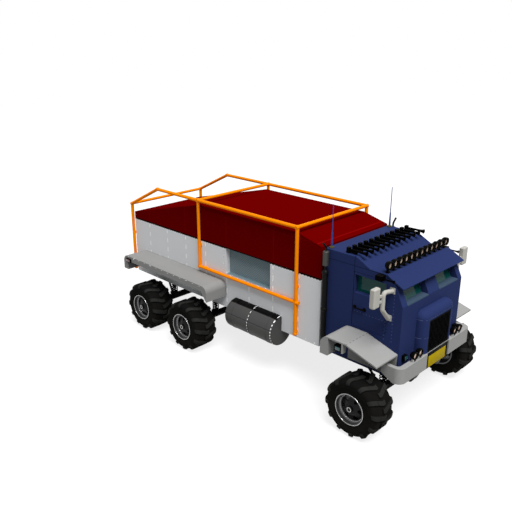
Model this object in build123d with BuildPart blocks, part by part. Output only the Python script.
from build123d import *
import os
from math import hypot

# Off-road truck, three axles, cab over the engine.
# Millimetres. +X forward, +Y to the truck's left, +Z up. The ground is z = 0,
# and the origin lies under the middle of the overall length.
# Places along X are worked out from the two ends, so the truck can be lengthened.

# ---------------------------------------------------------------- driving dimensions
HALF_LENGTH = 4510          # bumper face, and the rear side of the roll cage

TYRE_R = 636                # 14.00 R20 class tyre, and the height of the axles
TYRE_W = 672                # balloon section width
RIM_R = 320                 # bead seat radius
RIM_W = 660                 # rim width over the flanges
TRACK_Y = 1730              # tyre centre from the middle plane
FRONT_AXLE_SETBACK = 470    # front axle behind the cab's face
REAR_OVERHANG = 1360        # rear axle ahead of the rear end
BOGIE_PITCH = 1730          # middle axle ahead of the rear axle
KINGPIN_Y = 1300            # steering axis from the middle plane

CAB_SETBACK = 230           # cab's front face behind the bumper's face
CAB_LENGTH = 1911
CAB_HALF_W = 1150
CAB_BOTTOM = 1100
CAB_ROOF = 3436
CAB_WALL = 40
CAB_DECK = 1790             # cab floor, above the engine

BODY_GAP = 56               # between the cab and the cargo body
BODY_HALF_W = 1195
BODY_BOTTOM = 1151
BODY_WAIST = 2713           # where the red roof starts
BODY_WALL = 50
BODY_FLOOR = 60
BODY_CORNER_R = 14
ROOF_WALL = 40
ROOF_REAR_Z = 2900
ROOF_TOP_Z = 3618
ROOF_FRONT_Z = 3450

FRAME_Y = 430               # middle of a frame rail
FRAME_RAIL_W = 90
FRAME_RAIL_T = 10
FRAME_TOP = 1110
FRAME_H = 240

# ---------------------------------------------------------------- places along X
CAB_FRONT = HALF_LENGTH - CAB_SETBACK
CAB_REAR = CAB_FRONT - CAB_LENGTH
BODY_FRONT = CAB_REAR - BODY_GAP
BODY_REAR = -HALF_LENGTH + 60
FRONT_AXLE_X = CAB_FRONT - FRONT_AXLE_SETBACK
REAR_AXLE_X = -HALF_LENGTH + REAR_OVERHANG
MIDDLE_AXLE_X = REAR_AXLE_X + BOGIE_PITCH
FRAME_REAR = -HALF_LENGTH + 260
FRAME_FRONT = CAB_FRONT - 100
ROOF_REAR_BREAK = BODY_REAR + 2862
ROOF_FRONT_BREAK = BODY_FRONT - 673
FRAME_BOTTOM = FRAME_TOP - FRAME_H

SIDES = (("right", -1), ("left", 1))
AXLES = (("front", FRONT_AXLE_X), ("middle", MIDDLE_AXLE_X), ("rear", REAR_AXLE_X))

os.makedirs("parts", exist_ok=True)


# ---------------------------------------------------------------- helpers
def save(piece, name):
    """Label a finished piece and write its STEP file."""
    piece.part.label = name
    export_step(piece.part, f"parts/{name}.step")


def box_at(x0, x1, y0, y1, z0, z1, mode=Mode.ADD):
    """Box between two corners, in the part's frame."""
    with Locations(((x0 + x1) / 2, (y0 + y1) / 2, (z0 + z1) / 2)):
        Box(abs(x1 - x0), abs(y1 - y0), abs(z1 - z0), mode=mode)


def slab(plane, points, amount, mode=Mode.ADD, both=False):
    """Flat plate with a straight-edged outline, drawn on a plane and given a thickness."""
    with BuildSketch(plane, mode=Mode.PRIVATE) as outline:
        with BuildLine():
            Polyline(*points, close=True)
        make_face()
    extrude(outline.sketch, amount=amount, both=both, mode=mode)


def rod(start, end, radius, mode=Mode.ADD):
    """Straight round bar between two points."""
    start, end = Vector(*start), Vector(*end)
    with BuildSketch(Plane(origin=start, z_dir=end - start), mode=Mode.PRIVATE) as section:
        Circle(radius)
    extrude(section.sketch, amount=(end - start).length, mode=mode)


def tube_along(points, radius, bend):
    """Round tube along straight runs joined by tangent bends."""
    with BuildLine(mode=Mode.PRIVATE) as route:
        FilletPolyline(*points, radius=bend)
    with BuildSketch(route.line ^ 0, mode=Mode.PRIVATE) as section:
        Circle(radius)
    sweep(section.sketch, path=route.line)


def turned(origin, axis, profile, side=(0, 0, 1), mode=Mode.ADD):
    """Solid of revolution. The profile lists (distance along the axis, radius)."""
    with BuildSketch(Plane(origin=origin, x_dir=axis, z_dir=side), mode=Mode.PRIVATE) as section:
        with BuildLine():
            Polyline(*profile, close=True)
        make_face()
    revolve(section.sketch, axis=Axis(origin, axis), mode=mode)


def ball(x, y, z, radius):
    """Sphere round a point."""
    with Locations((x, y, z)):
        Sphere(radius)


# ---------------------------------------------------------------- wheels and tyres
TYRE_WALL = 26
SHOULDER_R = 90
SIDEWALL = TYRE_R - RIM_R
BULGE_R = RIM_R + SIDEWALL / 2      # where the sidewall is widest
BEAD_HALF_W = RIM_W / 2 - 16.3
BEAD_H = 30
LIP_H = 16                  # rim flange above the bead seat
RIM_T = 12
WELL_DEPTH = 35             # the rim's drop centre
DISC_RIM_Y = 200            # where the wheel disc meets the barrel, outboard of the tyre's middle
DISC_HUB_Y = 270            # the disc rises outboard to the hub
DISC_T = 14
HUB_R = 110
HUB_IN_Y = -110             # the hub's inner face
HUB_CAP_R = 70
HUB_CAP_Y = 328
RIM_WINDOWS = 6
WINDOW_IN_R = 142
WINDOW_OUT_R = 252
WINDOW_HALF = 74
DRUM_R = 205
DRUM_T = 15
DRUM_IN_Y = -230            # open inner end of the brake drum
DRUM_WEB_Y = -80

tyre_half = TYRE_W / 2
rim_half = RIM_W / 2
well_in_r = RIM_R - WELL_DEPTH - RIM_T
rim_section = (             # (outboard distance, radius) round the barrel
    (-rim_half, RIM_R + LIP_H), (-rim_half + 16, RIM_R + LIP_H), (-rim_half + 16, RIM_R),
    (-rim_half + 80, RIM_R), (-rim_half + 115, RIM_R - WELL_DEPTH), (rim_half - 115, RIM_R - WELL_DEPTH),
    (rim_half - 80, RIM_R), (rim_half - 16, RIM_R), (rim_half - 16, RIM_R + LIP_H), (rim_half, RIM_R + LIP_H),
    (rim_half, RIM_R - RIM_T), (rim_half - 74, RIM_R - RIM_T), (rim_half - 109, RIM_R - WELL_DEPTH - RIM_T),
    (-rim_half + 109, RIM_R - WELL_DEPTH - RIM_T), (-rim_half + 74, RIM_R - RIM_T), (-rim_half, RIM_R - RIM_T),
)
disc_section = (
    (DISC_RIM_Y, well_in_r + 1), (DISC_RIM_Y + DISC_T, well_in_r + 1),
    (DISC_HUB_Y + DISC_T, HUB_R - 5), (DISC_HUB_Y, HUB_R - 5),
)
hub_section = (
    (HUB_IN_Y, 0), (HUB_IN_Y, HUB_R), (DISC_HUB_Y + DISC_T, HUB_R), (DISC_HUB_Y + 26, HUB_R - 14),
    (DISC_HUB_Y + 26, HUB_CAP_R), (HUB_CAP_Y - 8, HUB_CAP_R), (HUB_CAP_Y, HUB_CAP_R - 10), (HUB_CAP_Y, 0),
)
drum_section = (
    (DRUM_IN_Y, DRUM_R - DRUM_T), (DRUM_IN_Y, DRUM_R), (DRUM_WEB_Y, DRUM_R), (DRUM_WEB_Y, HUB_R - 5),
    (DRUM_WEB_Y - DRUM_T, HUB_R - 5), (DRUM_WEB_Y - DRUM_T, DRUM_R - DRUM_T),
)

for axle_name, axle_x in AXLES:
    for side, sign in SIDES:
        centre = (axle_x, sign * TRACK_Y, TYRE_R)
        outboard = (0, sign, 0)
        # The tyre is an open C section, from bead to bead round the shoulders.
        with BuildPart() as tyre:
            with BuildSketch(Plane(origin=centre, x_dir=(0, 1, 0), z_dir=(1, 0, 0))):
                with BuildLine():
                    Line((BEAD_HALF_W, RIM_R + 0.3), (BEAD_HALF_W, RIM_R + BEAD_H))
                    ThreePointArc((BEAD_HALF_W, RIM_R + BEAD_H), (tyre_half - 9, BULGE_R - SIDEWALL / 5),
                                  (tyre_half, BULGE_R))
                    Line((tyre_half, BULGE_R), (tyre_half, TYRE_R - SHOULDER_R))
                    RadiusArc((tyre_half, TYRE_R - SHOULDER_R), (tyre_half - SHOULDER_R, TYRE_R), -SHOULDER_R)
                    Polyline((tyre_half - SHOULDER_R, TYRE_R), (0, TYRE_R), (0, TYRE_R - TYRE_WALL),
                             (tyre_half - SHOULDER_R, TYRE_R - TYRE_WALL))
                    RadiusArc((tyre_half - SHOULDER_R, TYRE_R - TYRE_WALL),
                              (tyre_half - TYRE_WALL, TYRE_R - SHOULDER_R), SHOULDER_R - TYRE_WALL)
                    Polyline((tyre_half - TYRE_WALL, TYRE_R - SHOULDER_R), (tyre_half - TYRE_WALL, BULGE_R),
                             (BEAD_HALF_W - BEAD_H, RIM_R + BEAD_H), (BEAD_HALF_W - BEAD_H, RIM_R + 0.3),
                             (BEAD_HALF_W, RIM_R + 0.3))
                make_face()
                mirror(about=Plane.YZ)
            revolve(axis=Axis(centre, (0, 1, 0)))
        save(tyre, f"tyre_{axle_name}_{side}")

        # The rim: a barrel with a well, a domed disc with windows, the hub and the brake drum.
        with BuildPart() as rim:
            turned(centre, outboard, rim_section)
            turned(centre, outboard, disc_section)
            with BuildSketch(Plane(origin=centre, z_dir=outboard).offset(DISC_RIM_Y - 30)) as windows:
                with PolarLocations(0, RIM_WINDOWS, start_angle=90 if axle_name == "front" else 60):
                    Polygon((WINDOW_IN_R, 0), (WINDOW_OUT_R - 22, WINDOW_HALF), (WINDOW_OUT_R, WINDOW_HALF - 30),
                            (WINDOW_OUT_R, 30 - WINDOW_HALF), (WINDOW_OUT_R - 22, -WINDOW_HALF), align=None)
                fillet(windows.vertices(), radius=12)
            extrude(amount=DISC_HUB_Y - DISC_RIM_Y + 60, mode=Mode.SUBTRACT)
            turned(centre, outboard, hub_section)
            turned(centre, outboard, drum_section)
        save(rim, f"rim_{axle_name}_{side}")

# ---------------------------------------------------------------- axles
AXLE_R = 85                 # axle tube
DIFF_R = 190                # differential housing
BANJO_W = 150               # half width where the housing starts to narrow
BANJO_REACH = 330
COVER_R = 165
PINION_R = 70
PINION_L = 50               # pinion nose, ahead of or behind the differential
BACKING_R = 182             # brake backing plate, inside the drum's open end
BACKING_T = 10
SPINDLE_R = 60
FIT = 0.3                   # running clearance
KNUCKLE_R = 70
KNUCKLE_H = 200
YOKE_H = 260                # between the ears of the yoke
YOKE_EAR_T = 35
YOKE_HALF = 60
TRUNNION_R = 32
yoke_back_y = KINGPIN_Y - 110
hub_face_y = TRACK_Y + HUB_IN_Y - FIT
backing_y = TRACK_Y + DRUM_IN_Y - 8


def axle_housing(x, half, pinion_ways):
    """Axle tube with its differential housing, a cover and one pinion nose per driven way."""
    turned((x, 0, TYRE_R), (0, 1, 0), [
        (-half, 0), (-half, AXLE_R), (-BANJO_REACH, AXLE_R), (-BANJO_W, DIFF_R - 35), (-BANJO_W / 2, DIFF_R),
        (BANJO_W / 2, DIFF_R), (BANJO_W, DIFF_R - 35), (BANJO_REACH, AXLE_R), (half, AXLE_R), (half, 0)],
           side=(1, 0, 0))
    for way in pinion_ways:
        reach = DIFF_R + PINION_L
        turned((x, 0, TYRE_R), (way, 0, 0), [(20, 0), (20, COVER_R), (DIFF_R - 45, COVER_R),
                                             (DIFF_R + 10, PINION_R + 20), (reach, PINION_R), (reach, 0)],
               side=(0, 1, 0))
    if len(pinion_ways) == 1:
        turned((x, 0, TYRE_R), (-pinion_ways[0], 0, 0), [(20, 0), (20, COVER_R), (DIFF_R - 30, COVER_R),
                                                         (DIFF_R + 14, COVER_R - 60), (DIFF_R + 14, 0)],
               side=(0, 1, 0))


with BuildPart() as front_axle:
    axle_housing(FRONT_AXLE_X, yoke_back_y + 10, (-1,))
    for side, sign in SIDES:
        # C-shaped yoke: two ears above and below the knuckle, joined by a back.
        box_at(FRONT_AXLE_X - YOKE_HALF, FRONT_AXLE_X + YOKE_HALF, sign * yoke_back_y, sign * (yoke_back_y + 20),
               TYRE_R - YOKE_H / 2 - YOKE_EAR_T, TYRE_R + YOKE_H / 2 + YOKE_EAR_T)
        for z_low in (TYRE_R - YOKE_H / 2 - YOKE_EAR_T, TYRE_R + YOKE_H / 2):
            with BuildSketch(Plane.XY.offset(z_low), mode=Mode.PRIVATE) as ear:
                with Locations((FRONT_AXLE_X, sign * (yoke_back_y + KINGPIN_Y) / 2)):
                    Rectangle(2 * YOKE_HALF, KINGPIN_Y - yoke_back_y)
                with Locations((FRONT_AXLE_X, sign * KINGPIN_Y)):
                    Circle(YOKE_HALF)
                    Circle(TRUNNION_R + FIT, mode=Mode.SUBTRACT)
            extrude(ear.sketch, amount=YOKE_EAR_T)
save(front_axle, "front_axle")

for axle_name, axle_x, pinion_ways in (("middle", MIDDLE_AXLE_X, (-1, 1)), ("rear", REAR_AXLE_X, (1,))):
    with BuildPart() as axle:
        axle_housing(axle_x, hub_face_y, pinion_ways)
        for side, sign in SIDES:
            turned((axle_x, sign * backing_y, TYRE_R), (0, sign, 0), [(0, 0), (0, BACKING_R), (BACKING_T, BACKING_R),
                                                                     (BACKING_T, 0)])
    save(axle, f"{axle_name}_axle")

# ---------------------------------------------------------------- steering
ARM_BACK = 260              # the steering arm's eye, behind the kingpin
ARM_TOP_Z = TYRE_R - 69
ARM_T = 26
ARM_HALF = 22
EYE_R = 32
STUD_R = 11
ROD_END_R = 30
ROD_END_H = 46
TIE_ROD_R = 18
arm_x = FRONT_AXLE_X - ARM_BACK
arm_low_z = ARM_TOP_Z - ARM_T
tie_rod_z = arm_low_z - FIT - ROD_END_H / 2

for side, sign in SIDES:
    kingpin_y = sign * KINGPIN_Y
    with BuildPart() as knuckle:
        turned((FRONT_AXLE_X, kingpin_y, TYRE_R), (0, 0, 1), [
            (-YOKE_H / 2 - YOKE_EAR_T, 0), (-YOKE_H / 2 - YOKE_EAR_T, TRUNNION_R), (-YOKE_H / 2 + FIT, TRUNNION_R),
            (-YOKE_H / 2 + FIT, KNUCKLE_R - 20), (-KNUCKLE_H / 2, KNUCKLE_R), (KNUCKLE_H / 2, KNUCKLE_R),
            (YOKE_H / 2 - FIT, KNUCKLE_R - 20), (YOKE_H / 2 - FIT, TRUNNION_R), (YOKE_H / 2 + YOKE_EAR_T, TRUNNION_R),
            (YOKE_H / 2 + YOKE_EAR_T, 0)], side=(0, 1, 0))
        # Stepped spindle, out to the hub, with the brake's backing plate on it.
        turned((FRONT_AXLE_X, 0, TYRE_R), (0, sign, 0), [
            (KINGPIN_Y, 0), (KINGPIN_Y, SPINDLE_R + 24), (backing_y - 30, SPINDLE_R + 24), (backing_y, SPINDLE_R + 50),
            (backing_y, BACKING_R), (backing_y + BACKING_T, BACKING_R), (backing_y + BACKING_T, SPINDLE_R + 8),
            (hub_face_y, SPINDLE_R), (hub_face_y, 0)])
        # Steering arm with the tie rod's stud under its eye.
        with BuildSketch(Plane.XY.offset(arm_low_z)):
            with Locations(((arm_x + FRONT_AXLE_X - 40) / 2, kingpin_y)):
                Rectangle(ARM_BACK - 40, 2 * ARM_HALF)
            with Locations((arm_x, kingpin_y)):
                Circle(EYE_R)
        extrude(amount=ARM_T)
        rod((arm_x, kingpin_y, arm_low_z + 1), (arm_x, kingpin_y, arm_low_z - ROD_END_H - 8), STUD_R)
    save(knuckle, f"knuckle_{side}")

with BuildPart() as tie_rod:
    rod((arm_x, -KINGPIN_Y, tie_rod_z), (arm_x, KINGPIN_Y, tie_rod_z), TIE_ROD_R)
    for side, sign in SIDES:
        with Locations((arm_x, sign * KINGPIN_Y, tie_rod_z)):
            Cylinder(ROD_END_R, ROD_END_H)
            Cylinder(STUD_R + FIT, 2 * ROD_END_H, mode=Mode.SUBTRACT)
        # Adjusting sleeve beside each rod end.
        rod((arm_x, sign * (KINGPIN_Y - 190), tie_rod_z), (arm_x, sign * (KINGPIN_Y - 60), tie_rod_z), TIE_ROD_R + 7)
save(tie_rod, "tie_rod")

# ---------------------------------------------------------------- frame
rail_out_y = FRAME_Y + FRAME_RAIL_W / 2
rail_in_y = FRAME_Y - FRAME_RAIL_W / 2
web_in_y = rail_out_y - FRAME_RAIL_T
CROSS_R = 52
crossmember_xs = (FRAME_REAR + 60, REAR_AXLE_X + BOGIE_PITCH / 2, MIDDLE_AXLE_X + 920, BODY_FRONT - 1413,
                  CAB_REAR + 31, FRAME_FRONT - 80)
body_mount_xs = (BODY_REAR + 450, REAR_AXLE_X + BOGIE_PITCH / 2, MIDDLE_AXLE_X + 920, BODY_FRONT - 1413,
                 BODY_FRONT - 213)
TOW_Z = 990
TOW_T = 50
TOW_PIN_R = 20.5
TOW_REACH = 110             # the eye's centre, behind the frame's end

with BuildPart() as chassis_frame:
    for side, sign in SIDES:
        slab(Plane.YZ.offset(FRAME_REAR), [
            (sign * rail_in_y, FRAME_BOTTOM), (sign * rail_out_y, FRAME_BOTTOM), (sign * rail_out_y, FRAME_TOP),
            (sign * rail_in_y, FRAME_TOP), (sign * rail_in_y, FRAME_TOP - FRAME_RAIL_T),
            (sign * web_in_y, FRAME_TOP - FRAME_RAIL_T), (sign * web_in_y, FRAME_BOTTOM + FRAME_RAIL_T),
            (sign * rail_in_y, FRAME_BOTTOM + FRAME_RAIL_T)], FRAME_FRONT - FRAME_REAR)
        # Body mounts, up to the underside of the cargo body.
        for x in body_mount_xs:
            box_at(x - 80, x + 80, sign * rail_in_y, sign * rail_out_y, FRAME_TOP, BODY_BOTTOM)
save(chassis_frame, "chassis_frame")

with BuildPart() as crossmembers:
    cross_z = (FRAME_TOP + FRAME_BOTTOM) / 2
    for x in crossmember_xs:
        rod((x, -web_in_y, cross_z), (x, web_in_y, cross_z), CROSS_R)
    # Tow eye behind the last crossmember.
    with BuildSketch(Plane.XY.offset(TOW_Z - TOW_T / 2)):
        with Locations((FRAME_REAR - TOW_REACH / 2 + 30, 0)):
            Rectangle(TOW_REACH + 60, 120)
        with Locations((FRAME_REAR - TOW_REACH, 0)):
            Circle(60)
            Circle(TOW_PIN_R, mode=Mode.SUBTRACT)
    extrude(amount=TOW_T)
save(crossmembers, "crossmembers")

# ---------------------------------------------------------------- suspension
SPRING_Y = 900
SPRING_TOP_Z = 1060         # underside of the spring towers
SPRING_R = 75               # middle of the wire
WIRE_R = 13
COILS = 5
CUP_R = 98
SADDLE_T = 20               # saddle over the axle tube
SADDLE_HALF = 95
DAMPER_R = 38
PISTON_R = 19
LINK_R = 28
LINK_EYE_R = 44
LINK_L = 760
LINK_FRAME_Z = FRAME_BOTTOM + 60
LINK_FRAME_Y = rail_out_y + 95
GUSSET_T = 24
spring_seat_z = TYRE_R + AXLE_R + SADDLE_T

with BuildPart() as suspension:
    for axle_name, axle_x in AXLES:
        # Links trail from the front axle and spread away from each other on the bogie.
        link_way = 1 if axle_name == "middle" else -1
        for side, sign in SIDES:
            y = sign * SPRING_Y
            box_at(axle_x - SADDLE_HALF, axle_x + SADDLE_HALF, y - 70, y + 70, TYRE_R + 30, spring_seat_z)
            rod((axle_x, y - 80, TYRE_R), (axle_x, y + 80, TYRE_R), AXLE_R + FIT, mode=Mode.SUBTRACT)
            turned((axle_x, y, spring_seat_z - 12), (0, 0, 1), [(0, 0), (0, CUP_R), (12, CUP_R), (12, 0)],
                   side=(0, 1, 0))
            rod((axle_x, y, spring_seat_z - 1), (axle_x, y, SPRING_TOP_Z - 110), PISTON_R)
            rod((axle_x, y, SPRING_TOP_Z - 180), (axle_x, y, SPRING_TOP_Z + 1), DAMPER_R)
            # Tower on the rail, with a gusset under it.
            box_at(axle_x - 100, axle_x + 100, sign * rail_out_y, sign * (SPRING_Y + 105), SPRING_TOP_Z,
                   SPRING_TOP_Z + 26)
            slab(Plane.YZ.offset(axle_x - GUSSET_T / 2), [
                (sign * rail_out_y, FRAME_BOTTOM + 30), (sign * rail_out_y, SPRING_TOP_Z + 1),
                (sign * (SPRING_Y - 120), SPRING_TOP_Z + 1)], GUSSET_T)
            # Link, from an eye on the saddle to a bracket on the rail.
            eye = (axle_x + link_way * (SADDLE_HALF + 20), y, TYRE_R + 62)
            pivot = (axle_x + link_way * LINK_L, sign * LINK_FRAME_Y, LINK_FRAME_Z)
            box_at(axle_x + link_way * (SADDLE_HALF - 10), eye[0], y - 40, y + 40, eye[2] - 32, eye[2] + 32)
            rod(eye, pivot, LINK_R)
            rod((eye[0], y - 48, eye[2]), (eye[0], y + 48, eye[2]), LINK_EYE_R)
            rod((pivot[0], sign * rail_out_y, pivot[2]), (pivot[0], pivot[1] + sign * 45, pivot[2]), LINK_EYE_R)
save(suspension, "suspension")

with BuildPart() as coil_springs:
    coil_low = spring_seat_z + WIRE_R + FIT
    coil_height = SPRING_TOP_Z - WIRE_R - FIT - coil_low
    for axle_name, axle_x in AXLES:
        for side, sign in SIDES:
            with BuildLine(mode=Mode.PRIVATE) as coil:
                Helix(pitch=coil_height / COILS, height=coil_height, radius=SPRING_R,
                      center=(axle_x, sign * SPRING_Y, coil_low))
            with BuildSketch(coil.line ^ 0, mode=Mode.PRIVATE) as wire:
                Circle(WIRE_R)
            sweep(wire.sketch, path=coil.line, is_frenet=True)
save(coil_springs, "coil_springs")

# ---------------------------------------------------------------- driveline and engine
SHAFT_R = 45
JOINT_R = 58
YOKE_L = 40
TRANSFER_X = BODY_FRONT - 1013
TRANSFER_Z = 900
TRANSFER_HALF_L = 260
TRANSFER_OUT_Z = TRANSFER_Z - 60
pinion_reach = DIFF_R + PINION_L + FIT
with BuildPart() as driveline:
    box_at(TRANSFER_X - TRANSFER_HALF_L, TRANSFER_X + TRANSFER_HALF_L, -190, 190,
           TRANSFER_Z - 210, TRANSFER_Z + 190)
    fillet(driveline.edges().filter_by(Axis.X), radius=50)
    # Transfer case hangers, between the webs of the frame rails.
    box_at(TRANSFER_X - 60, TRANSFER_X + 60, -web_in_y, web_in_y, TRANSFER_Z + 20, TRANSFER_Z + 90)
    shaft_table = (         # rear end x and z, front end x and z
        (TRANSFER_X + TRANSFER_HALF_L, TRANSFER_OUT_Z, FRONT_AXLE_X - pinion_reach, TYRE_R),
        (MIDDLE_AXLE_X + pinion_reach, TYRE_R, TRANSFER_X - TRANSFER_HALF_L, TRANSFER_OUT_Z),
        (REAR_AXLE_X + pinion_reach, TYRE_R, MIDDLE_AXLE_X - pinion_reach, TYRE_R),
    )
    for x0, z0, x1, z1 in shaft_table:
        for x, z, way in ((x0, z0, 1), (x1, z1, -1)):
            rod((x, 0, z), (x + way * YOKE_L, 0, z), JOINT_R)
            ball(x + way * (YOKE_L + 20), 0, z, JOINT_R + 2)
        rod((x0 + YOKE_L + 20, 0, z0), (x1 - YOKE_L - 20, 0, z1), SHAFT_R)
save(driveline, "driveline")

with BuildPart() as engine_block:
    box_at(CAB_REAR + 151, CAB_REAR + 1011, -rail_in_y, rail_in_y, FRAME_BOTTOM + 30, CAB_DECK - 60)
save(engine_block, "engine_block")

# ---------------------------------------------------------------- cargo body
WINDOW_FRONT = BODY_FRONT - 1485    # recessed mesh window in the cargo body's side
WINDOW_LENGTH = 1498
WINDOW_SILL = 2060
WINDOW_DEPTH = 140
WINDOW_FRAME = 40
MESH_T = 10
WINDOW_REAR = WINDOW_FRONT - WINDOW_LENGTH
REAR_DOOR_HALF_W = 560
REAR_DOOR_BOTTOM = BODY_BOTTOM + BODY_FLOOR + 20
REAR_DOOR_TOP = BODY_WAIST - 70
DOOR_GAP = 8
HINGE_R = 13
HINGE_H = 90
HINGE_SET = 15
LEAF_REACH = 60
rear_hinge_x = BODY_REAR - HINGE_SET
rear_hinge_y = REAR_DOOR_HALF_W
rear_hinge_zs = (REAR_DOOR_BOTTOM + 250, REAR_DOOR_TOP - 250)
window_in_y = BODY_HALF_W - WINDOW_DEPTH

with BuildPart() as cargo_body:
    box_at(BODY_REAR, BODY_FRONT, -BODY_HALF_W, BODY_HALF_W, BODY_BOTTOM, BODY_WAIST)
    fillet(cargo_body.edges().filter_by(Axis.Z), radius=BODY_CORNER_R)
    box_at(BODY_REAR + BODY_WALL, BODY_FRONT - BODY_WALL, -BODY_HALF_W + BODY_WALL, BODY_HALF_W - BODY_WALL,
           BODY_BOTTOM + BODY_FLOOR, BODY_WAIST, mode=Mode.SUBTRACT)
    # Window reveals: a deep frame round each mesh window, then the opening through it.
    for side, sign in SIDES:
        box_at(WINDOW_REAR - WINDOW_FRAME, WINDOW_FRONT + WINDOW_FRAME, sign * (window_in_y - 20), sign * BODY_HALF_W,
               WINDOW_SILL - WINDOW_FRAME, BODY_WAIST)
        box_at(WINDOW_REAR, WINDOW_FRONT, sign * (window_in_y - 20), sign * BODY_HALF_W,
               WINDOW_SILL, BODY_WAIST, mode=Mode.SUBTRACT)
    # Rear door opening.
    box_at(BODY_REAR, BODY_REAR + BODY_WALL, -REAR_DOOR_HALF_W, REAR_DOOR_HALF_W,
           REAR_DOOR_BOTTOM, REAR_DOOR_TOP, mode=Mode.SUBTRACT)
    # Hinge knuckles on the left jamb.
    for z in rear_hinge_zs:
        for seg in (-1, 1):
            mid = z + seg * HINGE_H / 3
            with Locations((rear_hinge_x, rear_hinge_y, mid)):
                Cylinder(HINGE_R, HINGE_H / 3 - 2 * FIT)
            box_at(BODY_REAR - HINGE_SET, BODY_REAR, rear_hinge_y + 3, rear_hinge_y + LEAF_REACH,
                   mid - HINGE_H / 6 + FIT, mid + HINGE_H / 6 - FIT)
save(cargo_body, "cargo_body")

LOCK_ROD_R = 11
LOCK_Y = -REAR_DOOR_HALF_W + 150
lock_x = BODY_REAR - LOCK_ROD_R - 9
with BuildPart() as rear_door:
    box_at(BODY_REAR, BODY_REAR + BODY_WALL - 5, -REAR_DOOR_HALF_W + DOOR_GAP, REAR_DOOR_HALF_W - DOOR_GAP,
           REAR_DOOR_BOTTOM + DOOR_GAP, REAR_DOOR_TOP - DOOR_GAP)
    for z in rear_hinge_zs:
        with Locations((rear_hinge_x, rear_hinge_y, z)):
            Cylinder(HINGE_R, HINGE_H / 3 - 2 * FIT)
        box_at(BODY_REAR - HINGE_SET, BODY_REAR, rear_hinge_y - LEAF_REACH, rear_hinge_y - 3,
               z - HINGE_H / 6 + FIT, z + HINGE_H / 6 - FIT)
    # Lock rod on four guides, with its handle.
    rod((lock_x, LOCK_Y, REAR_DOOR_BOTTOM + 40), (lock_x, LOCK_Y, REAR_DOOR_TOP - 40), LOCK_ROD_R)
    for z in (REAR_DOOR_BOTTOM + 90, REAR_DOOR_BOTTOM + 480, REAR_DOOR_TOP - 480, REAR_DOOR_TOP - 90):
        box_at(BODY_REAR - 2 * LOCK_ROD_R - 9, BODY_REAR, LOCK_Y - 26, LOCK_Y + 26, z - 22, z + 22)
    box_at(lock_x - 9, lock_x + 9, LOCK_Y - 4, LOCK_Y + 260, REAR_DOOR_BOTTOM + 590, REAR_DOOR_BOTTOM + 622)
save(rear_door, "rear_door")

with BuildPart() as cargo_windows:
    for side, sign in SIDES:
        box_at(WINDOW_REAR, WINDOW_FRONT, sign * (window_in_y - MESH_T), sign * window_in_y,
               WINDOW_SILL, BODY_WAIST - FIT)
save(cargo_windows, "cargo_windows")

roof_outline = (            # x, z round the red roof, from the rear lower corner
    (BODY_REAR, BODY_WAIST), (BODY_REAR, ROOF_REAR_Z), (ROOF_REAR_BREAK, ROOF_TOP_Z),
    (ROOF_FRONT_BREAK, ROOF_TOP_Z), (BODY_FRONT, ROOF_FRONT_Z), (BODY_FRONT, BODY_WAIST),
)
with BuildPart() as cargo_roof:
    slab(Plane.XZ, roof_outline, BODY_HALF_W, both=True)
    rims = cargo_roof.edges().filter_by(lambda e: e.center().Z > BODY_WAIST + 1)
    side_rims = rims.filter_by(lambda e: abs(abs(e.center().Y) - BODY_HALF_W) < 1)
    fillet(side_rims, radius=BODY_CORNER_R)
    slab(Plane.XZ, [(BODY_REAR + ROOF_WALL, BODY_WAIST), (BODY_REAR + ROOF_WALL, ROOF_REAR_Z - ROOF_WALL),
                    (ROOF_REAR_BREAK, ROOF_TOP_Z - ROOF_WALL), (ROOF_FRONT_BREAK, ROOF_TOP_Z - ROOF_WALL),
                    (BODY_FRONT - ROOF_WALL, ROOF_FRONT_Z - ROOF_WALL), (BODY_FRONT - ROOF_WALL, BODY_WAIST)],
         BODY_HALF_W - ROOF_WALL, mode=Mode.SUBTRACT, both=True)
save(cargo_roof, "cargo_roof")

# ---------------------------------------------------------------- roll cage
CAGE_Y = BODY_HALF_W + 55   # middle of the side tubes
CAGE_R = 42
CAGE_BAR_R = 39             # bars that end on the hoops
CAGE_JOINT_R = 47           # round joints where the tubes meet
CAGE_JOINT_HALF = 45
CAGE_TOP = 3747
CAGE_REAR_TOP = 3142
CAGE_BOTTOM = 1249
CAGE_RAIL_Z = 2016
CAGE_RAIL_PAST = 85         # the rail's end, ahead of the front post
cage_rear_x = -HALF_LENGTH + CAGE_JOINT_R
cage_peak_x = cage_rear_x + 1223
cage_mid_x = ROOF_REAR_BREAK
cage_front_x = BODY_FRONT - 648
FOOT_HALF = 35
cage_feet = (               # x, z of the feet on the body's side
    (cage_rear_x, CAGE_BOTTOM + 60), (cage_rear_x, 2300), (cage_front_x, CAGE_BOTTOM + 60),
    (cage_front_x, 2400), (cage_mid_x + 200, CAGE_RAIL_Z), (cage_mid_x, 2600),
)

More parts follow.
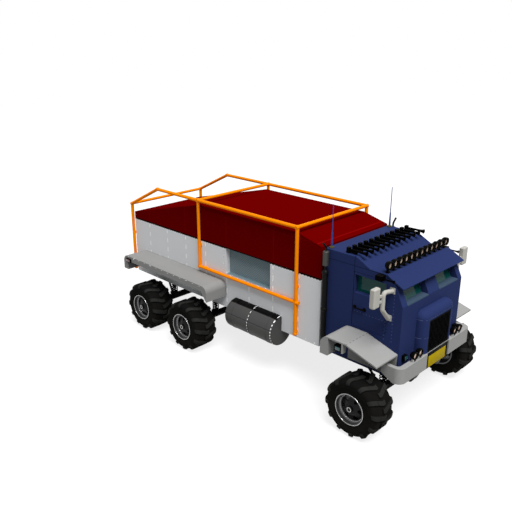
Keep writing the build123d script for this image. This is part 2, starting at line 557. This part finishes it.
joint_section = (           # (distance across the truck, radius) of a round joint
    (-CAGE_JOINT_HALF, 0), (-CAGE_JOINT_HALF, CAGE_JOINT_R - 13), (15 - CAGE_JOINT_HALF, CAGE_JOINT_R),
    (CAGE_JOINT_HALF - 15, CAGE_JOINT_R), (CAGE_JOINT_HALF, CAGE_JOINT_R - 13), (CAGE_JOINT_HALF, 0),
)
with BuildPart() as roll_cage:
    y = -CAGE_Y
    hoop = [(cage_rear_x, y, CAGE_BOTTOM), (cage_rear_x, y, CAGE_REAR_TOP), (cage_peak_x, y, CAGE_TOP),
            (cage_front_x, y, CAGE_TOP), (cage_front_x, y, CAGE_BOTTOM)]
    for start, end in zip(hoop, hoop[1:]):
        rod(start, end, CAGE_R)
    for corner in hoop:
        turned(corner, (0, 1, 0), joint_section)
    rod((cage_mid_x, y, CAGE_TOP), (cage_mid_x, y, CAGE_RAIL_Z), CAGE_BAR_R)
    rod((cage_mid_x, y, CAGE_RAIL_Z), (cage_front_x + CAGE_RAIL_PAST, y, CAGE_RAIL_Z), CAGE_BAR_R)
    for x, z in ((cage_mid_x, CAGE_TOP), (cage_mid_x, CAGE_RAIL_Z), (cage_front_x, CAGE_RAIL_Z)):
        turned((x, y, z), (0, 1, 0), joint_section)
    for x, z in cage_feet:
        box_at(x - FOOT_HALF, x + FOOT_HALF, -BODY_HALF_W, y, z - FOOT_HALF, z + FOOT_HALF)
    mirror(about=Plane.XZ)
save(roll_cage, "roll_cage")

with BuildPart() as cage_crossbars:
    # Bars from joint to joint across the truck.
    bar_half = CAGE_Y - CAGE_JOINT_HALF - FIT
    for x, z in ((cage_rear_x, CAGE_REAR_TOP), (cage_mid_x, CAGE_TOP), (cage_front_x, CAGE_TOP)):
        rod((x, -bar_half, z), (x, bar_half, z), CAGE_BAR_R)
save(cage_crossbars, "cage_crossbars")

# ---------------------------------------------------------------- cab
BREAK1_X = CAB_REAR + 780   # roof starts to slope
BREAK2_X = BREAK1_X + 347   # slope ends at the brow
BROW_Z = 3257
BREAK3_X = CAB_FRONT - 386  # visor line
VISOR_TIP_X = CAB_FRONT - 2
VISOR_TIP_Z = 3057
VISOR_T = 18
VISOR_SIDE = 20             # the visor stands out past the cab's sides
SCREEN_BOTTOM_Z = 2679
SCREEN_TOP_X = CAB_FRONT - 238
SCREEN_TOP_Z = 3180
CAB_EDGE_R = 12
PANE_IN = 205               # panes start this far from the middle
PANE_OUT = CAB_HALF_W - 165  # and end this far inside the cab's sides
PANE_SILL = 14              # along the lean
PANE_HEADER = 56
SCREEN_RECESS = 180
SLEEVE_T = 14
GLASS_T = 6
DOOR_FRONT = CAB_FRONT - 370
DOOR_LENGTH = 805
DOOR_BOTTOM = 1935
DOOR_TOP = 3120
DOOR_T = 50
DOOR_REVEAL = 130           # depth of the side window's reveal
SIDE_PANE_BOTTOM = 2676
SIDE_PANE_TOP = 3060
HINGE_OUT = 14              # hinge line outside the cab's side
DOOR_REAR = DOOR_FRONT - DOOR_LENGTH
pane_rear = DOOR_REAR + 35
pane_front = DOOR_FRONT - 30
hinge_y = CAB_HALF_W + HINGE_OUT
door_hinge_x = DOOR_FRONT + 3
door_hinge_zs = (DOOR_BOTTOM + 180, SIDE_PANE_BOTTOM - 120)

cab_outline = (             # x, z round the cab's side, from the rear lower corner
    (CAB_REAR, CAB_BOTTOM), (CAB_REAR, CAB_ROOF), (BREAK1_X, CAB_ROOF), (BREAK2_X, BROW_Z), (BREAK3_X, BROW_Z),
    (SCREEN_TOP_X, SCREEN_TOP_Z), (CAB_FRONT, SCREEN_BOTTOM_Z), (CAB_FRONT, CAB_BOTTOM),
)
lean = hypot(CAB_FRONT - SCREEN_TOP_X, SCREEN_TOP_Z - SCREEN_BOTTOM_Z)


def screen_plane(x):
    """Leaning plane through the windscreen's sill at x. Local X runs across the cab, local Y up the lean."""
    return Plane(origin=(x, 0, SCREEN_BOTTOM_Z), x_dir=(0, 1, 0),
                 z_dir=(SCREEN_TOP_Z - SCREEN_BOTTOM_Z, 0, CAB_FRONT - SCREEN_TOP_X))


def panes(x, edge):
    """Both windscreen panes as a sketch, made larger all round by an edge."""
    with BuildSketch(screen_plane(x), mode=Mode.PRIVATE) as pair:
        for side, sign in SIDES:
            with Locations((sign * (PANE_IN + PANE_OUT) / 2, (lean + PANE_SILL - PANE_HEADER) / 2)):
                Rectangle(PANE_OUT - PANE_IN + 2 * edge, lean - PANE_SILL - PANE_HEADER + 2 * edge)
    return pair.sketch


with BuildPart() as cab_shell:
    slab(Plane.XZ, cab_outline, CAB_HALF_W, both=True)
    upright = cab_shell.edges().filter_by(lambda e: abs(abs(e.center().Y) - CAB_HALF_W) < 1)
    fillet(upright.filter_by(lambda e: e.center().Z > CAB_BOTTOM + 1), radius=CAB_EDGE_R)
    with BuildSketch(Plane.XZ) as cabin_side:
        with BuildLine():
            Polyline(*cab_outline, close=True)
        make_face()
        offset(amount=-CAB_WALL, kind=Kind.INTERSECTION, mode=Mode.REPLACE)
        with Locations(((CAB_REAR + CAB_FRONT) / 2, (CAB_BOTTOM + CAB_DECK) / 2)):
            Rectangle(2 * CAB_LENGTH, CAB_DECK - CAB_BOTTOM, mode=Mode.SUBTRACT)
    extrude(amount=CAB_HALF_W - CAB_WALL, both=True, mode=Mode.SUBTRACT)
    # Engine bay below the deck, open underneath.
    box_at(CAB_REAR + CAB_WALL, CAB_FRONT - CAB_WALL, -CAB_HALF_W + CAB_WALL, CAB_HALF_W - CAB_WALL,
           CAB_BOTTOM, CAB_DECK - CAB_WALL, mode=Mode.SUBTRACT)
    # The rear wall stands clear over the frame.
    box_at(CAB_REAR, CAB_REAR + CAB_WALL, -rail_out_y - 60, rail_out_y + 60, CAB_BOTTOM, FRAME_TOP + 60,
           mode=Mode.SUBTRACT)
    # Visor, a folded plate ahead of the brow.
    slab(Plane.XZ, [(BREAK3_X, BROW_Z), (VISOR_TIP_X, VISOR_TIP_Z), (VISOR_TIP_X - 8, VISOR_TIP_Z - VISOR_T),
                    (BREAK3_X, BROW_Z - VISOR_T - 7)], CAB_HALF_W + VISOR_SIDE, both=True)
    # Windscreen sleeves, one each side of the centre pillar: deep reveals with the glass at the back.
    extrude(panes(CAB_FRONT, SLEEVE_T), amount=SCREEN_RECESS, dir=(-1, 0, 0))
    extrude(panes(CAB_FRONT + 10, 0), amount=SCREEN_RECESS + 40, dir=(-1, 0, 0), mode=Mode.SUBTRACT)
    for side, sign in SIDES:
        box_at(DOOR_REAR, DOOR_FRONT, sign * (CAB_HALF_W - CAB_WALL), sign * CAB_HALF_W, DOOR_BOTTOM, DOOR_TOP,
               mode=Mode.SUBTRACT)
        for z in door_hinge_zs:
            for seg in (-1, 1):
                mid = z + seg * HINGE_H / 3
                with Locations((door_hinge_x, sign * hinge_y, mid)):
                    Cylinder(HINGE_R - 1, HINGE_H / 3 - 2 * FIT)
                box_at(door_hinge_x + 8, door_hinge_x + LEAF_REACH - 5, sign * CAB_HALF_W, sign * hinge_y,
                       mid - HINGE_H / 6 + FIT, mid + HINGE_H / 6 - FIT)
        # Cab mounts on the frame rails.
        for x in (CAB_REAR + 95, CAB_FRONT - 250):
            box_at(x - 45, x + 45, sign * (FRAME_Y - 35), sign * (FRAME_Y + 35), FRAME_TOP, CAB_DECK - CAB_WALL)
save(cab_shell, "cab_shell")

with BuildPart() as windscreen:
    extrude(panes(CAB_FRONT - SCREEN_RECESS + 20, 0), amount=GLASS_T, dir=(-1, 0, 0))
save(windscreen, "windscreen")

for side, sign in SIDES:
    reveal_y = CAB_HALF_W - DOOR_REVEAL
    with BuildPart() as cab_door:
        box_at(DOOR_REAR + DOOR_GAP, DOOR_FRONT - DOOR_GAP, sign * (CAB_HALF_W - DOOR_T), sign * CAB_HALF_W,
               DOOR_BOTTOM + DOOR_GAP, DOOR_TOP - DOOR_GAP)
        box_at(pane_rear - SLEEVE_T, pane_front + SLEEVE_T, sign * reveal_y, sign * (CAB_HALF_W - 10),
               SIDE_PANE_BOTTOM - SLEEVE_T, SIDE_PANE_TOP + SLEEVE_T)
        box_at(pane_rear, pane_front, sign * (reveal_y - 1), sign * CAB_HALF_W, SIDE_PANE_BOTTOM, SIDE_PANE_TOP,
               mode=Mode.SUBTRACT)
        for z in door_hinge_zs:
            with Locations((door_hinge_x, sign * hinge_y, z)):
                Cylinder(HINGE_R - 1, HINGE_H / 3 - 2 * FIT)
            box_at(door_hinge_x - LEAF_REACH + 5, door_hinge_x - 8, sign * CAB_HALF_W, sign * hinge_y,
                   z - HINGE_H / 6 + FIT, z + HINGE_H / 6 - FIT)
    save(cab_door, f"cab_door_{side}")
    with BuildPart() as door_glass:
        box_at(pane_rear, pane_front, sign * (reveal_y + 4), sign * (reveal_y + 4 + GLASS_T),
               SIDE_PANE_BOTTOM, SIDE_PANE_TOP)
    save(door_glass, f"door_glass_{side}")

# ---------------------------------------------------------------- cab interior
SEAT_Y = 620
SEAT_X = CAB_REAR + 631
SEAT_Z = 2210
DASH_X = CAB_FRONT - 420
WHEEL_RIM_R = 225
WHEEL_TUBE_R = 14
COLUMN_L = 170
column_plane = Plane(origin=(DASH_X + 20, SEAT_Y, 2420), z_dir=(-1, 0, 0.7))
with BuildPart() as dashboard:
    slab(Plane.XZ, [(DASH_X, 2290), (DASH_X + 30, 2520), (DASH_X + 110, 2560), (CAB_FRONT - CAB_WALL, 2560),
                    (CAB_FRONT - CAB_WALL, 2250), (DASH_X + 60, 2250)], CAB_HALF_W - 150, both=True)
    with BuildSketch(column_plane):
        Circle(35)
    extrude(amount=COLUMN_L)
    box_at(CAB_FRONT - 200, CAB_FRONT - CAB_WALL, -800, 800, CAB_DECK, 2260)
save(dashboard, "dashboard")

wheel_plane = column_plane.offset(COLUMN_L + FIT)
with BuildPart() as steering_wheel:
    with BuildSketch(wheel_plane):
        Circle(50)
    extrude(amount=30)
    with BuildSketch(wheel_plane.offset(8)):
        Circle(WHEEL_RIM_R + WHEEL_TUBE_R)
        Circle(WHEEL_RIM_R - WHEEL_TUBE_R, mode=Mode.SUBTRACT)
        for spoke in (90, 210, 330):
            with PolarLocations(WHEEL_RIM_R / 2, 1, start_angle=spoke):
                Rectangle(WHEEL_RIM_R, 26)
    extrude(amount=18)
save(steering_wheel, "steering_wheel")

with BuildPart() as seats:
    for side, sign in SIDES:
        y = sign * SEAT_Y
        box_at(SEAT_X - 200, SEAT_X + 260, y - 200, y + 200, CAB_DECK, SEAT_Z - 130)
        box_at(SEAT_X - 230, SEAT_X + 290, y - 250, y + 250, SEAT_Z - 130, SEAT_Z)
        slab(Plane.XZ.offset(-y - 240), [(SEAT_X - 230, SEAT_Z - 60), (SEAT_X - 130, SEAT_Z - 60),
                                         (SEAT_X - 230, SEAT_Z + 710), (SEAT_X - 330, SEAT_Z + 710)], 480)
save(seats, "seats")

# ---------------------------------------------------------------- nose and grille
NOSE_HALF_W = 600
NOSE_X = HALF_LENGTH - 30
NOSE_R = 165
NOSE_TOP = 2430
BUMPER_TOP = 1512
BUMPER_BOTTOM = 1171
GRILLE_HALF_W = 420
GRILLE_TOP = 2230
GRILLE_T = 25
GRILLE_EDGE = 40
GRILLE_BAR = 16
GRILLE_SLOTS = 14
with BuildPart() as nose:
    box_at(CAB_FRONT, NOSE_X, -NOSE_HALF_W, NOSE_HALF_W, BUMPER_TOP, NOSE_TOP)
    front = nose.edges().filter_by(lambda e: e.center().X > CAB_FRONT + 1)
    fillet(front.filter_by(lambda e: e.center().Z > BUMPER_TOP + 1), radius=NOSE_R)
    # Deep recess behind the grille.
    box_at(CAB_FRONT + 20, NOSE_X, -GRILLE_HALF_W, GRILLE_HALF_W, BUMPER_TOP, GRILLE_TOP, mode=Mode.SUBTRACT)
save(nose, "nose")

with BuildPart() as grille:
    box_at(NOSE_X - GRILLE_T, NOSE_X, -GRILLE_HALF_W, GRILLE_HALF_W, BUMPER_TOP, GRILLE_TOP)
    slot_pitch = 2 * (GRILLE_HALF_W - GRILLE_EDGE) / GRILLE_SLOTS
    with BuildSketch(Plane.YZ.offset(NOSE_X)):
        with Locations((0, (BUMPER_TOP + GRILLE_TOP) / 2)):
            with GridLocations(slot_pitch, 1, GRILLE_SLOTS, 1):
                Rectangle(slot_pitch - GRILLE_BAR, GRILLE_TOP - BUMPER_TOP - 2 * GRILLE_EDGE)
    extrude(amount=-GRILLE_T, mode=Mode.SUBTRACT)
save(grille, "grille")

# ---------------------------------------------------------------- bumper
PLATE_GAP = 435             # the bumper's halves stop here for the plate
BUMPER_HALF_W = 1395
BUMPER_R = 165              # outer corner
BUMPER_DEPTH = 120
BUMPER_SKIN = 95            # thickness of the side return
BUMPER_RETURN_X = CAB_FRONT - 230
RELIEF_X = HALF_LENGTH - 186        # the return's lower edge rises behind this
RELIEF_Z = BUMPER_BOTTOM + 139      # and is this high at its rear end
BRIDGE_T = 40
BACK_PLATE_T = 25
BRACKET_T = 60
bumper_back_x = HALF_LENGTH - BUMPER_DEPTH
back_plate_x = HALF_LENGTH - 70

with BuildPart() as front_bumper:
    with BuildSketch(Plane.XY.offset(BUMPER_BOTTOM)) as half:
        with BuildLine():
            Polyline((HALF_LENGTH, PLATE_GAP), (HALF_LENGTH, BUMPER_HALF_W), (BUMPER_RETURN_X, BUMPER_HALF_W),
                     (BUMPER_RETURN_X, BUMPER_HALF_W - BUMPER_SKIN), (bumper_back_x, BUMPER_HALF_W - BUMPER_SKIN),
                     (bumper_back_x, PLATE_GAP), close=True)
        make_face()
        fillet(half.vertices().group_by(Axis.X)[1].sort_by(Axis.Y)[-1], radius=BUMPER_R - BUMPER_SKIN)
        fillet(half.vertices().group_by(Axis.X)[-1].sort_by(Axis.Y)[-1], radius=BUMPER_R)
    extrude(amount=BUMPER_TOP - BUMPER_BOTTOM)
    # The return rises behind the corner, clear of the steered tyre.
    slab(Plane.XZ, [(RELIEF_X, BUMPER_BOTTOM), (BUMPER_RETURN_X, RELIEF_Z), (BUMPER_RETURN_X, BUMPER_BOTTOM)],
         -2 * BUMPER_HALF_W, mode=Mode.SUBTRACT)
    upper = front_bumper.edges().group_by(Axis.Z)[-1]
    fillet(upper.filter_by(lambda e: e.center().Y > BUMPER_HALF_W - BUMPER_R or e.center().X > HALF_LENGTH - 1),
           radius=10)
    # Half of the back plate and of the bridge over the number plate, and a bracket to the frame rail.
    box_at(bumper_back_x, HALF_LENGTH - 25, 0, PLATE_GAP, BUMPER_TOP - BRIDGE_T, BUMPER_TOP)
    box_at(back_plate_x, back_plate_x + BACK_PLATE_T, 0, PLATE_GAP, BUMPER_BOTTOM, BUMPER_TOP)
    slab(Plane.XZ.offset(-FRAME_Y - BRACKET_T / 2), [
        (FRAME_FRONT, FRAME_BOTTOM), (FRAME_FRONT, CAB_BOTTOM - 10), (CAB_FRONT + 10, CAB_BOTTOM - 10),
        (back_plate_x, BUMPER_BOTTOM + 130), (back_plate_x, BUMPER_BOTTOM), (CAB_FRONT + 20, FRAME_BOTTOM)], BRACKET_T)
    mirror(about=Plane.XZ)
save(front_bumper, "front_bumper")

# ---------------------------------------------------------------- fenders
FENDER_OUT = 1868           # outer edge of the fenders
FENDER_T = 30
FENDER_END_Z = 1476         # lower edge of the dropped ends
FENDER_END_T = 195
FRONT_FENDER_TOP = 1890
FRONT_FENDER_TIP_Z = 1672
FRONT_END_R = 200
APRON_T = 12
APRON_BOTTOM = 1153
REAR_FENDER_TOP = 1868
REAR_END_R = 170
REAR_LIP = 150
front_fender_rear = FRONT_AXLE_X - 934
front_fender_crease = FRONT_AXLE_X - 305
front_fender_tip_x = CAB_FRONT - 30
rear_fender_rear = REAR_AXLE_X - 970
rear_fender_front = MIDDLE_AXLE_X + 764
BRACKET_X = FRONT_AXLE_X - 400      # plate beside the marker lamp

with BuildPart() as front_fenders:
    with BuildSketch(Plane.XZ.offset(-CAB_HALF_W)) as arch:
        with BuildLine():
            Polyline((front_fender_rear, FENDER_END_Z), (front_fender_rear, FRONT_FENDER_TOP),
                     (front_fender_crease, FRONT_FENDER_TOP), (front_fender_tip_x, FRONT_FENDER_TIP_Z),
                     (front_fender_tip_x, FRONT_FENDER_TIP_Z - FENDER_T),
                     (front_fender_crease, FRONT_FENDER_TOP - FENDER_T),
                     (front_fender_rear + FENDER_END_T, FRONT_FENDER_TOP - FENDER_T),
                     (front_fender_rear + FENDER_END_T, FENDER_END_Z), close=True)
        make_face()
        fillet(arch.vertices().group_by(Axis.X)[0].sort_by(Axis.Y)[-1], radius=FRONT_END_R)
    extrude(amount=CAB_HALF_W - FENDER_OUT)
    # Apron against the cab's side.
    slab(Plane.XZ.offset(-CAB_HALF_W), [
        (front_fender_rear + FENDER_END_T, FRONT_FENDER_TOP - FENDER_T),
        (front_fender_crease, FRONT_FENDER_TOP - FENDER_T), (front_fender_tip_x, FRONT_FENDER_TIP_Z - FENDER_T),
        (front_fender_tip_x - 30, APRON_BOTTOM), (front_fender_rear + FENDER_END_T, APRON_BOTTOM)], -APRON_T)
    box_at(BRACKET_X, BRACKET_X + 30, FENDER_OUT - 120, FENDER_OUT, FENDER_END_Z + 174, FRONT_FENDER_TOP - FENDER_T)
    mirror(about=Plane.XZ)
save(front_fenders, "front_fenders")

with BuildPart() as rear_fenders:
    with BuildSketch(Plane.XZ.offset(-BODY_HALF_W)) as arch:
        with BuildLine():
            Polyline((rear_fender_rear, FENDER_END_Z), (rear_fender_rear, REAR_FENDER_TOP),
                     (rear_fender_front, REAR_FENDER_TOP), (rear_fender_front, FENDER_END_Z),
                     (rear_fender_front - FENDER_END_T, REAR_FENDER_TOP - REAR_LIP),
                     (rear_fender_rear + FENDER_END_T, REAR_FENDER_TOP - REAR_LIP),
                     (rear_fender_rear + FENDER_END_T, FENDER_END_Z), close=True)
        make_face()
        fillet(arch.vertices().group_by(Axis.Y)[-1], radius=REAR_END_R)
    extrude(amount=BODY_HALF_W - FENDER_OUT)
    # Hollow behind the outer lip.
    box_at(rear_fender_rear + FENDER_END_T, rear_fender_front - FENDER_END_T - 20, BODY_HALF_W, FENDER_OUT - FENDER_T,
           FENDER_END_Z, REAR_FENDER_TOP - FENDER_T, mode=Mode.SUBTRACT)
    mirror(about=Plane.XZ)
save(rear_fenders, "rear_fenders")

# ---------------------------------------------------------------- fuel tanks
TANK_R = 370
TANK_L = 1545
TANK_EDGE_R = 40
STRAP_W = 60
STRAP_T = 6
tank_front = BODY_FRONT - 1108
tank_rear = tank_front - TANK_L
with BuildPart() as fuel_tanks:
    rod((tank_rear, BODY_HALF_W, BODY_BOTTOM), (tank_front, BODY_HALF_W, BODY_BOTTOM), TANK_R)
    fillet(fuel_tanks.edges().filter_by(GeomType.CIRCLE), radius=TANK_EDGE_R)
    strap_xs = (tank_rear + 200, (tank_rear + tank_front) / 2, tank_front - 200)
    for x in strap_xs:
        rod((x - STRAP_W / 2, BODY_HALF_W, BODY_BOTTOM), (x + STRAP_W / 2, BODY_HALF_W, BODY_BOTTOM), TANK_R + STRAP_T)
    # The quarter under the cargo body's floor is cut away.
    box_at(tank_rear, tank_front, BODY_HALF_W - TANK_R - STRAP_T, BODY_HALF_W, BODY_BOTTOM,
           BODY_BOTTOM + TANK_R + STRAP_T, mode=Mode.SUBTRACT)
    # Arms back to the frame rail.
    for x in strap_xs[::2]:
        box_at(x - 30, x + 30, rail_out_y, BODY_HALF_W - TANK_R + 30, FRAME_TOP - 70, FRAME_TOP - 10)
    mirror(about=Plane.XZ)
save(fuel_tanks, "fuel_tanks")

# ---------------------------------------------------------------- exhaust stacks
STACK_X = CAB_REAR + 71
STACK_Y = CAB_HALF_W + 78
STACK_R = 60
STACK_LOW_Z = 1250
STACK_TOP_Z = 2950
NECK_R = 24
SILENCER_R = 67
SILENCER_LOW_Z = 3077
SILENCER_TOP_Z = 3400
OUTLET_R = 22
OUTLET_TOP_Z = 3590
STACK_CLAMP_ZS = (2100, 2930)
with BuildPart() as exhaust_stacks:
    for side, sign in SIDES:
        y = sign * STACK_Y
        turned((STACK_X, y, 0), (0, 0, 1), [
            (STACK_LOW_Z, 0), (STACK_LOW_Z, STACK_R), (STACK_TOP_Z, STACK_R), (STACK_TOP_Z + 20, NECK_R),
            (SILENCER_LOW_Z, NECK_R), (SILENCER_LOW_Z + 16, SILENCER_R), (SILENCER_TOP_Z - 12, SILENCER_R),
            (SILENCER_TOP_Z, SILENCER_R - 14), (SILENCER_TOP_Z, 0)], side=(0, 1, 0))
        tube_along([(STACK_X, y, SILENCER_TOP_Z - 5), (STACK_X, y, OUTLET_TOP_Z - 105),
                    (STACK_X, y + sign * 100, OUTLET_TOP_Z)], OUTLET_R, bend=60)
        for z in STACK_CLAMP_ZS:
            ball(STACK_X, y, z, STACK_R + 14)
        for z in (STACK_LOW_Z + 150, *STACK_CLAMP_ZS):
            box_at(STACK_X - 25, STACK_X + 25, sign * CAB_HALF_W, y, z - 20, z + 20)
save(exhaust_stacks, "exhaust_stacks")

# ---------------------------------------------------------------- roof fittings
FITTINGS = 12               # lamps in the front row, horns in the rear row
ROW_HALF = CAB_HALF_W - 85  # the outermost lamp and horn
LAMP_BACK = 30              # lens face behind the visor line
LAMP_DEPTH = 88
ROW_PITCH = 2 * ROW_HALF / (FITTINGS - 1)
LAMP_FULL_R = 86
LAMP_GAP = 8                # left between lamps when the cab is too narrow for their full size
LAMP_R = min(LAMP_FULL_R, (ROW_PITCH - LAMP_GAP) / 2)
LENS_R = LAMP_R - 9
LAMP_Z = BROW_Z + 155
row_ys = [-ROW_HALF + ROW_PITCH * i for i in range(FITTINGS)]
lamp_section = (            # (distance behind the lens, radius) of a lamp's housing
    (0, LENS_R), (0, LAMP_R), (8, LAMP_R), (LAMP_DEPTH - 40, LAMP_R - 8), (LAMP_DEPTH - 15, LAMP_R - 30),
    (LAMP_DEPTH, LAMP_R - 60), (LAMP_DEPTH, 0), (8, 0), (8, LENS_R),
)
with BuildPart() as roof_lamps:
    lamp_x = BREAK3_X - LAMP_BACK
    for y in row_ys:
        turned((lamp_x, y, LAMP_Z), (-1, 0, 0), lamp_section)
        box_at(lamp_x - 55, lamp_x - 15, y - 20, y + 20, BROW_Z + 10, LAMP_Z - LAMP_R + 20)
        box_at(lamp_x - 70, lamp_x, y - 34, y + 34, BROW_Z, BROW_Z + 10)
save(roof_lamps, "roof_lamps")

HORN_X = CAB_REAR + 521
HORN_BODY = (65, 80, 121)   # length, width and height of a horn's sound box
trumpet_table = (           # height over the roof, length, bell radius
    (75, 440, 42),
    (35, 200, 32),
)
with BuildPart() as air_horns:
    for y in row_ys:
        length, width, height = HORN_BODY
        box_at(HORN_X - length / 2, HORN_X + length / 2, y - width / 2, y + width / 2, CAB_ROOF, CAB_ROOF + height)
        for up, reach, bell in trumpet_table:
            turned((HORN_X, y, CAB_ROOF + up), (1, 0, 0), [
                (0, 0), (0, 13), (reach * 0.65, 16), (reach - 40, bell * 0.6), (reach, bell), (reach, bell - 4),
                (reach - 40, bell * 0.6 - 5), (reach - 70, 0)])
    # One long horn beside the brow, on each side of the cab.
    for side, sign in SIDES:
        y = sign * (CAB_HALF_W + 90)
        box_at(CAB_FRONT - 580, CAB_FRONT - 430, sign * CAB_HALF_W, sign * (CAB_HALF_W + 140), DOOR_TOP + 15,
               DOOR_TOP + 115)
        turned((CAB_FRONT - 440, y, DOOR_TOP + 62), (1, 0, 0), [
            (0, 0), (0, 14), (200, 17), (240, 24), (260, 36), (260, 32), (240, 19), (220, 0)])
save(air_horns, "air_horns")

ANTENNA_X = CAB_REAR + 81
ANTENNA_Y = CAB_HALF_W - 90
ANTENNA_TOP = 4360
antenna_section = (         # (height over the roof, radius)
    (0, 0), (0, 55), (22, 55), (34, 26), (60, 22), (330, 15), (345, 10), (ANTENNA_TOP - CAB_ROOF, 8),
    (ANTENNA_TOP - CAB_ROOF, 0),
)
with BuildPart() as antennas:
    for side, sign in SIDES:
        turned((ANTENNA_X, sign * ANTENNA_Y, CAB_ROOF), (0, 0, 1), antenna_section, side=(0, 1, 0))
save(antennas, "antennas")

# ---------------------------------------------------------------- mirrors
ARM_R = 44
MIRROR_REACH = 290          # the arm's upright, out from the cab's side
MIRROR_X = CAB_FRONT - 270
MIRROR_ARM_TOP_Z = 3000
ARM_BEND_Z = 2645
ARM_FOOT_Z = 2385
HEAD_SIZE = (110, 200, 400)
HEAD_Z = 2960
FOOT_PLATE_T = 14
for side, sign in SIDES:
    with BuildPart() as mirror_arm:
        arm_y = sign * (CAB_HALF_W + MIRROR_REACH)
        head_y = arm_y + sign * 255
        top_foot = (MIRROR_X + 21, sign * (CAB_HALF_W + 12), MIRROR_ARM_TOP_Z - 35)
        low_foot = (MIRROR_X - 15, sign * (CAB_HALF_W + ARM_R + 4), ARM_FOOT_Z)
        with Locations((MIRROR_X - 15, head_y, HEAD_Z)):
            Box(*HEAD_SIZE)
        fillet(mirror_arm.edges(), radius=28)
        tube_along([top_foot, (MIRROR_X, arm_y, MIRROR_ARM_TOP_Z), (MIRROR_X, arm_y, ARM_BEND_Z), low_foot],
                   ARM_R, bend=60)
        ball(*low_foot, ARM_R)
        for x, z in ((top_foot[0], top_foot[2]), (low_foot[0], low_foot[2])):
            box_at(x - 55, x + 55, sign * CAB_HALF_W, sign * (CAB_HALF_W + FOOT_PLATE_T), z - 60, z + 60)
        for z in (HEAD_Z - 130, HEAD_Z - 20):
            box_at(MIRROR_X - 35, MIRROR_X + 5, arm_y, head_y - sign * 80, z - 22, z + 22)
    save(mirror_arm, f"mirror_{side}")

# ---------------------------------------------------------------- lamps on the bumper and the fenders
HEADLAMP_Z = 1632
HEADLAMP_R = 82
HEADLAMP_DEPTH = 95
HEADLAMP_FACE_X = HALF_LENGTH - 35
HEADLAMP_YS = (NOSE_HALF_W + 88, NOSE_HALF_W + 288)
headlamp_section = (        # (distance behind the face, radius)
    (0, HEADLAMP_R - 8), (0, HEADLAMP_R), (14, HEADLAMP_R), (HEADLAMP_DEPTH - 40, HEADLAMP_R - 8),
    (HEADLAMP_DEPTH - 12, HEADLAMP_R - 34), (HEADLAMP_DEPTH, HEADLAMP_R - 60), (HEADLAMP_DEPTH, 0), (9, 0),
    (9, HEADLAMP_R - 8),
)
with BuildPart() as headlamps:
    for side, sign in SIDES:
        for y in HEADLAMP_YS:
            turned((HEADLAMP_FACE_X, sign * y, HEADLAMP_Z), (-1, 0, 0), headlamp_section)
            box_at(HEADLAMP_FACE_X - 70, HEADLAMP_FACE_X - 20, sign * y - 20, sign * y + 20, BUMPER_TOP,
                   HEADLAMP_Z - HEADLAMP_R + 20)
save(headlamps, "headlamps")

TURN_LAMP = 110
TURN_LAMP_Y = CAB_HALF_W - 160
MARKER_LOW_Z = 1664
MARKER_HIGH_Z = 1785
marker_rear_x = FRONT_AXLE_X - 581
marker_front_x = FRONT_AXLE_X - 400 - FIT
tail_lamp_x = rear_fender_rear + 151
with BuildPart() as marker_lamps:
    for side, sign in SIDES:
        # Turn lamps beside the headlamps, on the cab's front.
        box_at(CAB_FRONT, CAB_FRONT + 70, sign * TURN_LAMP_Y - TURN_LAMP / 2, sign * TURN_LAMP_Y + TURN_LAMP / 2,
               BUMPER_TOP + 4, BUMPER_TOP + 4 + TURN_LAMP)
        # Boxes hung under the front fenders' edges, each on a hanger.
        box_at(marker_rear_x, marker_front_x, sign * (FENDER_OUT - 110), sign * FENDER_OUT, MARKER_LOW_Z, MARKER_HIGH_Z)
        box_at(marker_rear_x + 60, marker_front_x - 60, sign * (FENDER_OUT - 90), sign * (FENDER_OUT - 40),
               MARKER_HIGH_Z, FRONT_FENDER_TOP - FENDER_T)
        # Lamps on the rear fenders' outer lips.
        box_at(tail_lamp_x, tail_lamp_x + 203, sign * FENDER_OUT, sign * (FENDER_OUT + 40), MARKER_LOW_Z + 38,
               MARKER_HIGH_Z + 26)
save(marker_lamps, "marker_lamps")
